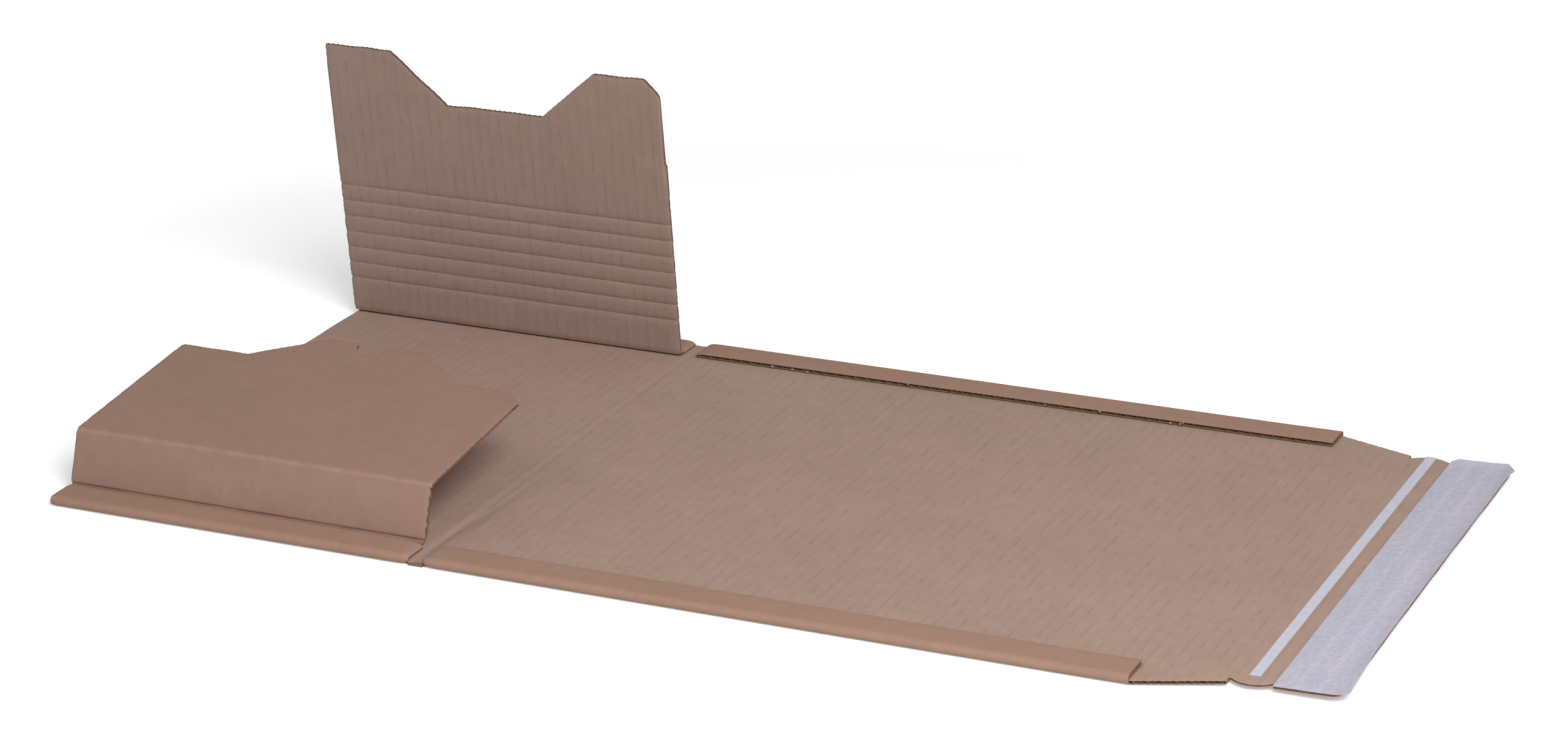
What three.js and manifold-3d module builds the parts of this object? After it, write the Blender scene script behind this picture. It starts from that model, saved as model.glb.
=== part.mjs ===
// Wraparound mailer of corrugated board, opened out. All sizes are in millimetres, +Z is up.
// The blank runs along +X: a tray panel with a folding front and rear flap, then the long wrap panel
// with its tear tape and self-seal end.

import * as THREE from 'three';
import { mergeVertices } from 'three/addons/utils/BufferGeometryUtils.js';
import Module from 'manifold-3d';

const wasm = await Module();
wasm.setup();

// Board
const boardThickness = 2.8;
const faceThickness = 0.4;
const flutePitch = 6.5;
const fluteWall = 0.9;
const stripFluteDepth = 12;

// Tray panel and the edge strips folded over onto it
const trayLength = 215;
const trayDepth = 350;
const stripWidth = 20.5;
const glueSetback = 3;
const plyGap = 0.3;

// Creases
const creaseSetback = 4.15;
const creaseEdgeInset = 1;
const hingeClearance = 0.3;
const grooveWidth = 1.6;
const grooveDepth = 0.25;

// Front flap
const frontWallHeight = 30;
const frontLeanDegrees = 19;
const frontTopRiseDegrees = 6;
const frontFoldRadius = 3.5;
const frontExtraFoldDegrees = 20;
const frontEarReach = 139;

// Rear flap
const rearWallHeight = 30;
const rearLeanDegrees = 6.4;
const heightCreasePitch = 10;
const heightCreasesAboveFold = 5;
const edgeStep = 1;
const edgeStepHeight = 117;

// The zigzag cut that parts the two flaps in the flat blank
const tabDepth = 30;
const tabEndWidth = 61.4;
const tabRootWidth = 130.6;
const thumbNotchRadius = 12.25;
const earChamfer = 10.2;
const flapCutGap = 1.5;

// Wrap panel
const wrapStripLength = 381;
const taperLength = 43;
const taperStartInset = 0.8;
const taperEndInset = 17;
const tearNotchDepth = 4.3;
const tearNotchLength = 1.2;
const tearBandLength = 23;
const endFlapLength = 33.5;
const endFlapInset = 18;
const endFlapCornerRadius = 6;

// Tear tape, adhesive and release liner
const tapeWidth = 5.7;
const tapeOffset = 8.5;
const tapeFrontGap = 9.5;
const tapeRearGap = 0.5;
const tapeThickness = 0.15;
const adhesiveMargin = 1.5;
const adhesiveThickness = 0.2;
const linerOverhang = 0.8;
const linerThickness = 0.15;

const arcSegments = 6;

// Places worked out from the sizes above
const stripTop = 2 * boardThickness;
const creaseX = trayLength + creaseSetback;
const flapSpan = trayDepth - 2 * stripWidth;
const frontTopLength = frontEarReach - frontWallHeight;
const rearEarHeight = flapSpan - flapCutGap - frontEarReach;
const wrapStripEnd = creaseSetback + wrapStripLength;
const taperEnd = wrapStripEnd + taperLength;
const endFlapStart = taperEnd + tearBandLength;
const wrapEnd = endFlapStart + endFlapLength;
const totalLength = creaseX + wrapEnd + linerOverhang;

const frontLean = THREE.MathUtils.degToRad(frontLeanDegrees);
const frontFold = THREE.MathUtils.degToRad(90 - frontLeanDegrees - frontTopRiseDegrees);
const frontExtraFold = THREE.MathUtils.degToRad(frontExtraFoldDegrees);
const rearLean = THREE.MathUtils.degToRad(rearLeanDegrees);

const kraftOuter = new THREE.MeshStandardMaterial({ color: 0x9a7c66, roughness: 0.9, metalness: 0 });
const kraftInner = new THREE.MeshStandardMaterial({ color: 0xa38c7c, roughness: 0.92, metalness: 0 });
const whiteTape = new THREE.MeshStandardMaterial({ color: 0xd6d6de, roughness: 0.5, metalness: 0 });
const paleGlue = new THREE.MeshStandardMaterial({ color: 0xc9bfae, roughness: 0.3, metalness: 0 });
const linerPaper = new THREE.MeshStandardMaterial({ color: 0xcfced8, roughness: 0.45, metalness: 0 });

function toSolid(geometry) {
  const plain = geometry.clone();
  plain.deleteAttribute('normal');
  plain.deleteAttribute('uv');
  const welded = mergeVertices(plain, 1e-4);
  return new wasm.Manifold(new wasm.Mesh({
    numProp: 3,
    vertProperties: new Float32Array(welded.attributes.position.array),
    triVerts: new Uint32Array(welded.index.array),
  }));
}

function toMesh(solid, name, material) {
  const data = solid.getMesh();
  const geometry = new THREE.BufferGeometry();
  geometry.setAttribute('position', new THREE.BufferAttribute(data.vertProperties, 3));
  geometry.setIndex(new THREE.BufferAttribute(data.triVerts, 1));
  geometry.computeVertexNormals();
  const mesh = new THREE.Mesh(geometry, material);
  mesh.name = name;
  return mesh;
}

function polygon(points) {
  return new THREE.Shape(points.map(([a, b]) => new THREE.Vector2(a, b)));
}

function arcPoints(centre, radius, from, to) {
  const points = [];
  for (let i = 0; i <= arcSegments; i += 1) {
    const angle = from + (to - from) * i / arcSegments;
    points.push([centre[0] + radius * Math.cos(angle), centre[1] + radius * Math.sin(angle)]);
  }
  return points;
}

function extrude(shapes, length) {
  return new THREE.ExtrudeGeometry(shapes, { depth: length, bevelEnabled: false });
}

// Shapes drawn in X and Y, from z0 up to z1
function alongZ(shapes, z0, z1) {
  return toSolid(extrude(shapes, z1 - z0).translate(0, 0, z0));
}

// Shapes drawn in Y and Z, from x0 to x1
function alongX(shapes, x0, x1) {
  const turn = new THREE.Matrix4().makeBasis(
    new THREE.Vector3(0, 1, 0), new THREE.Vector3(0, 0, 1), new THREE.Vector3(1, 0, 0));
  return toSolid(extrude(shapes, x1 - x0).applyMatrix4(turn).translate(x0, 0, 0));
}

// Shapes drawn in X and Z, from y0 to y1
function alongY(shapes, y0, y1) {
  const turn = new THREE.Matrix4().makeBasis(
    new THREE.Vector3(1, 0, 0), new THREE.Vector3(0, 0, 1), new THREE.Vector3(0, -1, 0));
  return toSolid(extrude(shapes, y1 - y0).applyMatrix4(turn).translate(0, y1, 0));
}

// The air cells of the board as triangles: the first coordinate runs across the flutes, the second
// through the board from its bottom to its top. They point up and down in turn.
function fluteCells(start, end, bottom, top) {
  const half = flutePitch / 2;
  const count = Math.floor((end - start - half) / half);
  const first = (start + end - (count + 1) * half) / 2;
  const low = bottom + faceThickness;
  const high = top - faceThickness;
  const cells = [];
  for (let i = 0; i < count; i += 1) {
    const left = first + i * half + fluteWall / 2;
    const right = first + (i + 2) * half - fluteWall / 2;
    const [base, tip] = i % 2 === 0 ? [low, high - fluteWall / 2] : [high, low + fluteWall / 2];
    cells.push(polygon([[left, base], [right, base], [(left + right) / 2, tip]]));
  }
  return cells;
}

// The section of tray and wrap panel: both long edges are turned over and glued down on the panel
function foldedSection() {
  const r = boardThickness;
  const open = boardThickness + plyGap;
  const frontHalf = [
    [stripWidth - glueSetback, boardThickness],
    [stripWidth - glueSetback, open],
    [stripWidth, open],
    [stripWidth, stripTop],
    ...arcPoints([r, r], r, Math.PI / 2, 3 * Math.PI / 2),
  ];
  const rearHalf = frontHalf.map(([y, z]) => [trayDepth - y, z]).reverse();
  return polygon([...frontHalf, ...rearHalf]);
}

function makeTray() {
  const edge = creaseX - hingeClearance / 2;
  const creaseMargin = polygon([
    [trayLength - stripWidth, boardThickness],
    [trayLength, boardThickness],
    [trayLength, creaseEdgeInset],
    [edge, creaseEdgeInset],
    [edge, trayDepth - creaseEdgeInset],
    [trayLength, trayDepth - creaseEdgeInset],
    [trayLength, trayDepth - boardThickness],
    [trayLength - stripWidth, trayDepth - boardThickness],
  ]);
  return alongX(foldedSection(), 0, trayLength).add(alongZ(creaseMargin, 0, boardThickness));
}

// The front fold is rounded outside, and its hinge line is the middle of that arc. Points are
// [through the board from the outer face, distance from the fold's corner].
function foldHinge() {
  const tangent = frontFoldRadius * Math.tan(frontFold / 2);
  return [
    frontFoldRadius * (1 - Math.cos(frontFold / 2)),
    tangent - frontFoldRadius * Math.sin(frontFold / 2),
  ];
}

// A panel's end at that fold, mitred back on the inner side so that it can fold further
function foldEnd() {
  const [hingeThrough, hingeDistance] = foldHinge();
  const gap = hingeClearance / 2 / Math.cos(frontFold / 2);
  const mitre = Math.tan((frontFold + frontExtraFold) / 2);
  const centre = [frontFoldRadius, frontFoldRadius * Math.tan(frontFold / 2) + gap];
  return [
    [boardThickness, hingeDistance + gap + (boardThickness - hingeThrough) * mitre],
    ...arcPoints(centre, frontFoldRadius, Math.PI + frontFold / 2, Math.PI),
  ];
}

// Flap panels are drawn with X along the crease, Z away from it and Y through the board
function makeFrontWall() {
  const end = foldEnd().map(([through, distance]) => [through, frontWallHeight - distance]);
  const section = polygon([[0, hingeClearance], [boardThickness, hingeClearance], ...end]);
  const cells = fluteCells(0, trayLength, 0, boardThickness);
  return alongX(section, 0, trayLength).subtract(alongZ(cells, -1, frontWallHeight + 1));
}

// The zigzag edge, from the middle outwards on one side: side is -1 towards -X and 1 towards +X
function zigzag(side, rootZ, endZ) {
  const middle = trayLength / 2;
  return [
    [middle + side * tabEndWidth / 2, endZ],
    [middle + side * tabRootWidth / 2, rootZ],
  ];
}

function makeFrontTop() {
  const tabEnd = frontTopLength + tabDepth;
  const section = polygon([...foldEnd(), [0, tabEnd + 1], [boardThickness, tabEnd + 1]]);
  const outline = polygon([
    [0, -1],
    [0, frontTopLength],
    ...zigzag(-1, frontTopLength, tabEnd).reverse(),
    ...arcPoints([trayLength / 2, tabEnd], thumbNotchRadius, -Math.PI, 0),
    ...zigzag(1, frontTopLength, tabEnd),
    [trayLength - earChamfer, frontTopLength],
    [trayLength, frontTopLength - earChamfer],
    [trayLength, -1],
  ]);
  const cells = fluteCells(0, trayLength, 0, boardThickness);
  return alongX(section, 0, trayLength)
    .intersect(alongY(outline, -1, boardThickness + 1))
    .subtract(alongZ(cells, -1, tabEnd + 1));
}

// A crease pressed into the inner face of the rear flap
function heightCrease(height) {
  const groove = polygon([
    [-boardThickness - grooveDepth, height - grooveWidth],
    [-boardThickness - grooveDepth, height + grooveWidth],
    [-boardThickness + grooveDepth, height],
  ]);
  return alongX(groove, -1, trayLength + edgeStep + 1);
}

function makeRearWall() {
  const outline = polygon([
    [0, hingeClearance],
    [trayLength, hingeClearance],
    [trayLength, rearWallHeight - hingeClearance / 2],
    [0, rearWallHeight - hingeClearance / 2],
  ]);
  const cells = fluteCells(0, trayLength, -boardThickness, 0);
  return alongY(outline, -boardThickness, 0)
    .subtract(alongZ(cells, -1, rearWallHeight + 1))
    .subtract(heightCrease(rearWallHeight - heightCreasePitch));
}

function makeRearTop() {
  const notchHeight = rearEarHeight - tabDepth;
  const outline = polygon([
    [0, rearWallHeight + hingeClearance / 2],
    [trayLength, rearWallHeight + hingeClearance / 2],
    [trayLength, edgeStepHeight],
    [trayLength - edgeStep, edgeStepHeight],
    [trayLength - edgeStep, rearEarHeight - earChamfer],
    [trayLength - earChamfer, rearEarHeight],
    ...zigzag(1, rearEarHeight, notchHeight).reverse(),
    ...zigzag(-1, rearEarHeight, notchHeight),
    [0, rearEarHeight],
  ]);
  const cells = fluteCells(0, trayLength - edgeStep, -boardThickness, 0);
  let panel = alongY(outline, -boardThickness, 0).subtract(alongZ(cells, 0, rearEarHeight + 1));
  for (let i = 1; i <= heightCreasesAboveFold; i += 1) {
    panel = panel.subtract(heightCrease(rearWallHeight + i * heightCreasePitch));
  }
  return panel;
}

// Front edge of the wrap panel's single layer, from the crease to the end. X counts from the crease.
function wrapEdge() {
  const notchY = taperEndInset + tearNotchDepth;
  const bulgeHalf = tearBandLength / 2 - tearNotchLength;
  const bulgeRadius = (bulgeHalf ** 2 + tearNotchDepth ** 2) / (2 * tearNotchDepth);
  const bulgeCentre = [taperEnd + tearBandLength / 2, taperEndInset + bulgeRadius];
  const bulgeAngle = Math.asin(bulgeHalf / bulgeRadius);
  const corner = [wrapEnd - endFlapCornerRadius, endFlapInset + endFlapCornerRadius];
  return [
    [hingeClearance / 2, creaseEdgeInset],
    [creaseSetback, creaseEdgeInset],
    [creaseSetback, boardThickness],
    [wrapStripEnd, boardThickness],
    [wrapStripEnd, taperStartInset],
    [taperEnd, taperEndInset],
    [taperEnd, notchY],
    ...arcPoints(bulgeCentre, bulgeRadius, -Math.PI / 2 - bulgeAngle, -Math.PI / 2 + bulgeAngle),
    [endFlapStart, endFlapInset],
    ...arcPoints(corner, endFlapCornerRadius, -Math.PI / 2, 0),
  ];
}

function makeWrapPanel() {
  const frontEdge = wrapEdge();
  const rearEdge = frontEdge.map(([x, y]) => [x, trayDepth - y]).reverse();
  const stripCells = fluteCells(creaseSetback, wrapStripEnd, boardThickness + plyGap, stripTop);
  const endCells = fluteCells(wrapStripEnd, wrapEnd, 0, boardThickness);
  return alongX(foldedSection(), creaseSetback, wrapStripEnd)
    .add(alongZ(polygon([...frontEdge, ...rearEdge]), 0, boardThickness))
    .subtract(alongY(stripCells, stripWidth - stripFluteDepth, stripWidth + 1))
    .subtract(alongY(stripCells, trayDepth - stripWidth - 1, trayDepth - stripWidth + stripFluteDepth))
    .subtract(alongY(endCells, -1, trayDepth + 1));
}

// A flat rectangle on the wrap panel, from [x0, y0] to [x1, y1]
function sheet([x0, y0], [x1, y1], bottom, thickness) {
  return alongZ(polygon([[x0, y0], [x1, y0], [x1, y1], [x0, y1]]), bottom, bottom + thickness);
}

function makeTearTape() {
  const start = taperEnd + tapeOffset;
  return sheet([start, taperEndInset + tapeFrontGap],
    [start + tapeWidth, trayDepth - taperEndInset - tapeRearGap], boardThickness, tapeThickness);
}

function makeAdhesive() {
  const inset = endFlapInset + endFlapCornerRadius / 2;
  return sheet([endFlapStart + adhesiveMargin, inset],
    [wrapEnd - adhesiveMargin, trayDepth - inset], boardThickness, adhesiveThickness);
}

function makeReleaseLiner() {
  const inset = endFlapInset - linerOverhang;
  const right = wrapEnd + linerOverhang;
  const corner = [right - endFlapCornerRadius, inset + endFlapCornerRadius];
  const frontEdge = [
    [endFlapStart, inset],
    ...arcPoints(corner, endFlapCornerRadius, -Math.PI / 2, 0),
  ];
  const rearEdge = frontEdge.map(([x, y]) => [x, trayDepth - y]).reverse();
  const bottom = boardThickness + adhesiveThickness;
  return alongZ(polygon([...frontEdge, ...rearEdge]), bottom, bottom + linerThickness);
}

// Assembly
const mailer = new THREE.Group();
mailer.position.set(-totalLength / 2, -trayDepth / 2, 0);
mailer.add(toMesh(makeTray(), 'base_panel', kraftInner));

const frontFlap = new THREE.Group();
frontFlap.position.set(0, stripWidth, stripTop);
frontFlap.rotation.x = -frontLean;
frontFlap.add(toMesh(makeFrontWall(), 'front_wall', kraftOuter));
mailer.add(frontFlap);

const frontTop = new THREE.Group();
frontTop.position.set(0, 0, frontWallHeight);
frontTop.rotation.x = -frontFold;
frontTop.add(toMesh(makeFrontTop(), 'front_top', kraftOuter));
frontFlap.add(frontTop);

const rearFlap = new THREE.Group();
rearFlap.position.set(0, trayDepth - stripWidth, stripTop);
rearFlap.rotation.x = rearLean;
rearFlap.add(toMesh(makeRearWall(), 'rear_wall', kraftInner));
rearFlap.add(toMesh(makeRearTop(), 'rear_top', kraftInner));
mailer.add(rearFlap);

const wrap = new THREE.Group();
wrap.position.set(creaseX, 0, 0);
wrap.add(toMesh(makeWrapPanel(), 'wrap_panel', kraftInner));
wrap.add(toMesh(makeTearTape(), 'tear_tape', whiteTape));
wrap.add(toMesh(makeAdhesive(), 'adhesive_strip', paleGlue));
wrap.add(toMesh(makeReleaseLiner(), 'release_liner', linerPaper));
mailer.add(wrap);

export default mailer;
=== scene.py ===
"""Looks of a wraparound mailer: each panel is corrugated board with faces, fluting, cuts and folds."""

import math

import bpy
import numpy as np
from mathutils import Matrix, Vector


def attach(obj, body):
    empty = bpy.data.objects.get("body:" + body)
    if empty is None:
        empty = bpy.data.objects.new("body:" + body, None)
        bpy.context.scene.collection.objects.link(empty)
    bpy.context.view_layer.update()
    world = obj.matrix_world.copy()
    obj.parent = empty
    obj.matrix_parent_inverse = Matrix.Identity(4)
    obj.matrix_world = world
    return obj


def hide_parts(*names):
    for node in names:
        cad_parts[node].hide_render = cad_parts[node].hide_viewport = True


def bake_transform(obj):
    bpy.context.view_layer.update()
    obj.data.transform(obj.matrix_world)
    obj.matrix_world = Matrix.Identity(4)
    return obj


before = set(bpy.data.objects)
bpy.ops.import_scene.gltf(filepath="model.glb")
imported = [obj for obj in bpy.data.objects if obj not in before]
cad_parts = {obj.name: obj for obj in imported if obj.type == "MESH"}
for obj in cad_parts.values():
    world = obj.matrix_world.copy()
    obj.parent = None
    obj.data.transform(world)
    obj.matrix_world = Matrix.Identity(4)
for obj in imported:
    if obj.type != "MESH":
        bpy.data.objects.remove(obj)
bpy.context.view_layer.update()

# Sizes in millimetres, as the frame has them
BOARD = 2.8
PLY = 2.7
FACE = 0.3
MEDIUM = 0.22
FLUTE_PITCH = 6.5
TRAY_LENGTH = 215.0
TRAY_DEPTH = 350.0
STRIP_WIDTH = 20.5
CREASE_SETBACK = 4.15
FRONT_WALL = 30.0
FRONT_LEAN = math.radians(19.0)
FRONT_RISE = math.radians(6.0)
FRONT_FOLD_RADIUS = 3.5
FRONT_EAR_REACH = 139.0
REAR_WALL = 30.0
REAR_LEAN = math.radians(6.4)
HEIGHT_CREASE_PITCH = 10.0
HEIGHT_CREASES = 7
FLAP_CUT_GAP = 1.5
TAB_DEPTH = 30.0
TAB_END_WIDTH = 61.4
TAB_ROOT_WIDTH = 130.6
THUMB_RADIUS = 12.25
EAR_CHAMFER = 10.2
EDGE_STEP = 1.0
EDGE_STEP_HEIGHT = 117.0
WRAP_STRIP = 381.0
TAPER = 43.0
TAPER_START_INSET = 0.8
TAPER_END_INSET = 17.0
NOTCH_DEPTH = 4.3
NOTCH_LENGTH = 1.2
TEAR_BAND = 23.0
END_FLAP = 33.5
END_FLAP_INSET = 18.0
END_CORNER = 6.0
LINER_OVERHANG = 0.8
TAPE_WIDTH = 5.7
TAPE_OFFSET = 8.5
TAPE_FRONT_GAP = 9.5
TAPE_REAR_GAP = 0.5

# Detail of the board
VALLEY_RADIUS = 0.4
SLOT_DEPTH = 9.0
TOOTH_PITCH = 3.2
TOOTH_DEPTH = 0.65
WASHBOARD = 0.07
FOOT = 2.5
GROOVE_DEPTH = 0.8
GROOVE_WIDTH = 0.8
ROW_STEP = 2.0
FLAT_ROW_STEP = 7.0
EDGE_ROWS = np.array([0, 0.7, 1.6, 3.0, 5.0])
COLUMN_STEP = FLUTE_PITCH / 6
END_COLUMNS = (0.35, 0.8, 1.5, 2.3)
STEP = 0.01  # columns stand this far before and after a step in an outline
GAP_INSET = 1.0  # how far the single layer is set in between the tray's strips and the wrap's
SIDE_CRUSH = 0.9
SIDE_CRUSH_REACH = 0.9
SIDE_SHIFT_REACH = 3.0
END_CRUSH = 0.3
END_CRUSH_REACH = 1.2
CLOSURE_PRESS = 1.1
TAPER_PRESS = 0.25
PRESS_REACH = 2.2
WRINKLE_START = 217.0
WRINKLE_FROM = 14.0
WRINKLE_SLOPE = 0.088
WRINKLE_END = 165.0
WRINKLE_FADE = 110.0
WRINKLE_DEPTH = 0.9
WRINKLE_WIDTH = 3.6
SCORE_DEPTH = 0.2
SCORE_WIDTH = 1.8
STRIP_END_PRESS = 1.7
STRIP_END_REACH = 1.6
SCALLOP_DEPTH = 1.2
SCALLOP_PITCH = 5.5
CREASE_PRESS = 0.5
CREASE_REACH = 1.2
CREASE_SOFT_PRESS = 0.22
CREASE_SOFT_REACH = 5.0
SLIT_LENGTH = 10.0
SLIT_DEPTH = 1.2
SHEET_ROWS = 90
TAPE_THICKNESS = 0.1
GLUE_THICKNESS = 0.08
LINER_HEIGHT = 0.1
LINER_THICKNESS = 0.12
SETTLE_START = 560.0
SETTLE_LENGTH = 145.0
SETTLE_RISE = 2.2
SETTLE_DOME = 0.9

# Places worked out from the sizes
STRIP_TOP = 2 * BOARD
CREASE_X = TRAY_LENGTH + CREASE_SETBACK
WRAP_START = CREASE_X + CREASE_SETBACK
WRAP_END = WRAP_START + WRAP_STRIP
TAPER_END = WRAP_END + TAPER
FLAP_START = TAPER_END + TEAR_BAND
SHEET_END = FLAP_START + END_FLAP
TOTAL = SHEET_END + LINER_OVERHANG
FLAP_SPAN = TRAY_DEPTH - 2 * STRIP_WIDTH
FRONT_TOP = FRONT_EAR_REACH - FRONT_WALL
REAR_EAR = FLAP_SPAN - FLAP_CUT_GAP - FRONT_EAR_REACH
MIDDLE = TRAY_LENGTH / 2


def linear(red, green, blue):
    """A colour written in sRGB steps of 0 to 255, as linear values."""
    steps = [c / 255 for c in (red, green, blue)]
    return [c / 12.92 if c <= 0.04045 else ((c + 0.055) / 1.055) ** 2.4 for c in steps]


def wave_noise(x, y, scale, seed):
    """Smooth noise from -1 to 1, a sum of crossing sine waves, for arrays of places."""
    rng = np.random.default_rng(seed)
    total = np.zeros(np.broadcast(x, y).shape)
    for _ in range(6):
        angle, phase, stretch = rng.uniform(0, math.tau), rng.uniform(0, math.tau), rng.uniform(0.6, 1.7)
        total += np.sin((x * math.cos(angle) + y * math.sin(angle)) * stretch / scale + phase)
    return total / 4


def teeth(along, seed):
    """The serrated line that a toothed knife leaves, from 0 to 1, slightly uneven."""
    saw = np.abs((along / TOOTH_PITCH) % 1.0 - 0.5) * 2
    return saw * (0.75 + 0.25 * wave_noise(along, 0 * along, 5.0, seed))


class Path:
    """The outer face of a sheet, drawn in the Y-Z plane as straight runs and bends."""

    def __init__(self, start, heading, inner):
        self.point = np.array(start, float)
        self.heading = heading
        self.inner = inner
        self.length = 0.0
        self.parts = []

    def straight(self, length):
        self.parts.append((self.length, length, self.point.copy(), self.heading, 0.0))
        self.point += length * np.array([math.cos(self.heading), math.sin(self.heading)])
        self.length += length
        return self

    def bend(self, radius, angle):
        length = radius * abs(angle)
        self.parts.append((self.length, length, self.point.copy(), self.heading, angle / length))
        turn = self.heading + angle
        sign = math.copysign(1.0, angle)
        left = np.array([-math.sin(self.heading), math.cos(self.heading)]) * sign * radius
        turned = np.array([-math.sin(turn), math.cos(turn)]) * sign * radius
        self.point += left - turned
        self.heading = turn
        self.length += length
        return self

    def at(self, along):
        """Y, Z and the inward direction at each distance along the path."""
        along = np.asarray(along, float)
        y, z, heading = (np.zeros_like(along) for _ in range(3))
        for number, (start, length, point, first, curve) in enumerate(self.parts):
            low = -np.inf if number == 0 else start
            high = np.inf if number == len(self.parts) - 1 else start + length
            here = (along >= low) & (along < high)
            step = along[here] - start
            turn = first + curve * step
            if curve:
                y[here] = point[0] + (np.sin(turn) - math.sin(first)) / curve
                z[here] = point[1] - (np.cos(turn) - math.cos(first)) / curve
            else:
                y[here] = point[0] + step * math.cos(first)
                z[here] = point[1] + step * math.sin(first)
            heading[here] = turn
        return y, z, -np.sin(heading) * self.inner, np.cos(heading) * self.inner


def settle(x, y):
    """How far the sheet stands off the table, because board never lies quite flat."""
    toward_end = np.clip((x - SETTLE_START) / SETTLE_LENGTH, 0, 1) ** 2
    return toward_end * (SETTLE_RISE + SETTLE_DOME * np.sin(np.clip(y / TRAY_DEPTH, 0, 1) * math.pi))


def place(path, across, along, through):
    """Sheet coordinates in millimetres to a place in the row frame in metres."""
    y, z, inward_y, inward_z = path.at(along)
    y = y + through * inward_y
    z = z + through * inward_z
    z = z + settle(across, y)
    return np.stack([across - TOTAL / 2, y - TRAY_DEPTH / 2, z], -1) / 1000


def ring_mesh(name, path, across, along, through, kinds, materials):
    """A closed body from one ring of points per column.

    kinds gives the material of each step in the ring."""
    columns, ring = along.shape
    points = place(path, across, along, through).reshape(-1, 3)
    index = np.arange(columns * ring).reshape(columns, ring)
    a, b = index[:-1], index[1:]
    quads = np.stack([a, b, np.roll(b, -1, 1), np.roll(a, -1, 1)], -1).reshape(-1, 4)
    faces = quads.tolist() + [index[0].tolist(), index[-1][::-1].tolist()]
    mesh = bpy.data.meshes.new(name)
    mesh.from_pydata(points.tolist(), [], faces)
    mesh.attributes.new("sheet", "FLOAT_VECTOR", "POINT")
    sheet = np.stack([across, along, through], -1).reshape(-1)
    mesh.attributes["sheet"].data.foreach_set("vector", sheet.astype(np.float32))
    for material in materials:
        mesh.materials.append(material)
    slots = np.concatenate([np.tile(kinds, columns - 1), [1, 1]])
    mesh.polygons.foreach_set("material_index", slots.astype(np.int32))
    mesh.polygons.foreach_set("use_smooth", np.ones(len(faces), bool))
    mesh.update()
    return mesh


def join(name, meshes):
    """One object from several meshes that share a place and their materials."""
    objects = []
    for mesh in meshes:
        made = bpy.data.objects.new(mesh.name, mesh)
        bpy.context.scene.collection.objects.link(made)
        objects.append(made)
    if len(objects) > 1:
        with bpy.context.temp_override(active_object=objects[0], selected_editable_objects=objects):
            bpy.ops.object.join()
    whole = objects[0]
    whole.name = name
    whole.data.name = name
    whole.data.set_sharp_from_angle(angle=math.radians(38))
    return whole


def columns_between(start, end, marks=()):
    """Evenly spaced columns across the flutes, with extra ones at the marks."""
    count = max(2, int(round((end - start) / COLUMN_STEP)) + 1)
    even = np.linspace(start, end, count)
    near_ends = [where + side * d for where, side in ((start, 1), (end, -1)) for d in END_COLUMNS]
    marks = [m for m in marks if start < m < end]
    marks += [m for m in near_ends if all(abs(m - other) > 0.25 for other in marks)]
    kept = [c for c in even if all(abs(c - m) > 0.25 for m in marks) or c in (start, end)]
    return np.array(sorted(set(kept) | set(marks)))


def washboard(across, side):
    """Depth by which a face sinks between the flute tips it is glued to."""
    phase = math.tau * across / FLUTE_PITCH + (0 if side > 0 else math.pi)
    return WASHBOARD * (1 - np.cos(phase)) / 2


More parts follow.
